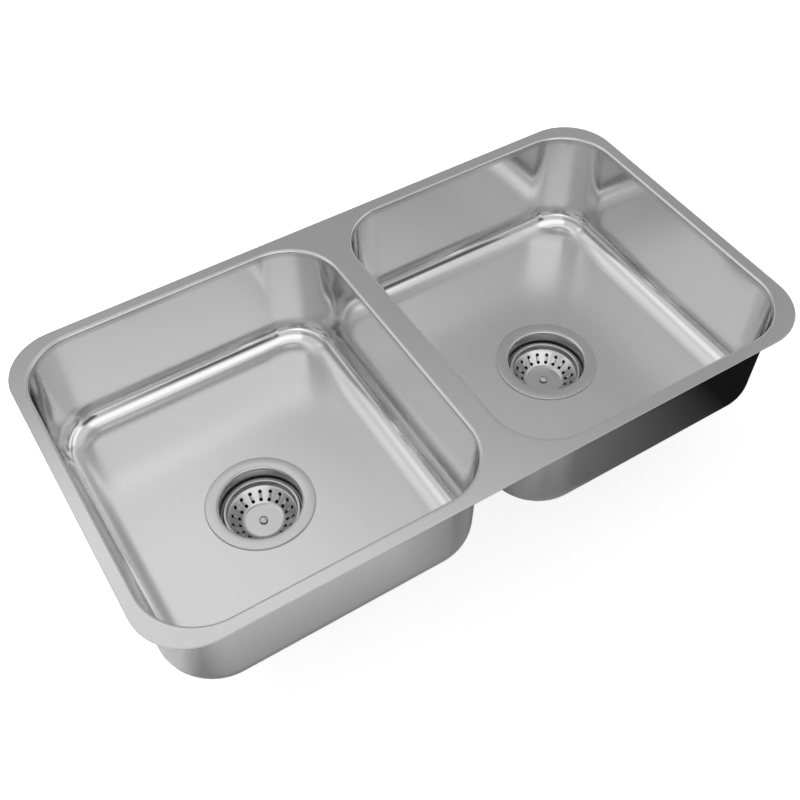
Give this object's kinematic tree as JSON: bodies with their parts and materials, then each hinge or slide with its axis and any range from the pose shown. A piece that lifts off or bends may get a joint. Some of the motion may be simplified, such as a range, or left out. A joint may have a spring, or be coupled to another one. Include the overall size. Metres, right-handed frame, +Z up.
{
  "type": "double bowl kitchen sink",
  "caption": "Undermount steel kitchen sink: flat round-cornered rim, deep bowls side by side, and a lift-out basket strainer in the floor of each bowl.",
  "frame": {"origin": "middle of the divider's flat top face, which is also the middle of the rim's top plane", "axes": "+X along the rim towards the right-hand bowl, +Y to the back, +Z up out of the bowls"},
  "size_m": [0.725, 0.398, 0.207],
  "materials": {
    "rim_steel": "satin sheet, faint lengthwise grain",
    "bowl_steel": "satin, drawn bright in the corners",
    "strainer_steel": "fine turned satin",
    "basket_steel": "bright satin",
    "outlet_metal": "machined",
    "hardware_steel": "turned",
    "black_rubber": "matt",
    "fibre": "pressed fibre",
    "nut_plastic": "moulded"
  },
  "bodies": {
    "sink": {"rim_deck": "rim_steel", "left_bowl": "bowl_steel", "right_bowl": "bowl_steel", "left_flange_seal": "black_rubber", "left_strainer_body": "strainer_steel", "left_outlet_neck": "outlet_metal", "left_under_gasket": "black_rubber", "left_friction_ring": "fibre", "left_lock_nut": "nut_plastic", "right_flange_seal": "black_rubber", "right_strainer_body": "strainer_steel", "right_outlet_neck": "outlet_metal", "right_under_gasket": "black_rubber", "right_friction_ring": "fibre", "right_lock_nut": "nut_plastic"},
    "left_stopper": {"left_stopper_seal": "black_rubber", "left_stopper_washer": "hardware_steel"},
    "left_basket": {"left_basket_cup": "basket_steel", "left_basket_knob": "basket_steel", "left_basket_stem": "hardware_steel", "left_stem_nut": "hardware_steel"},
    "right_stopper": {"right_stopper_seal": "black_rubber", "right_stopper_washer": "hardware_steel"},
    "right_basket": {"right_basket_cup": "basket_steel", "right_basket_knob": "basket_steel", "right_basket_stem": "hardware_steel", "right_stem_nut": "hardware_steel"}
  },
  "joints": [
    {"name": "left_basket_lift", "type": "slide", "parent": "sink", "child": "left_stopper", "axis": [0, 0, 1], "range_m": [0, 0.075]},
    {"name": "left_basket_turn", "type": "hinge", "parent": "left_stopper", "child": "left_basket", "pos_m": [-0.1892, -0.013, -0.168], "axis": [0, 0, 1], "continuous": true},
    {"name": "right_basket_lift", "type": "slide", "parent": "sink", "child": "right_stopper", "axis": [0, 0, 1], "range_m": [0, 0.075]},
    {"name": "right_basket_turn", "type": "hinge", "parent": "right_stopper", "child": "right_basket", "pos_m": [0.1732, -0.013, -0.168], "axis": [0, 0, 1], "continuous": true}
  ]
}
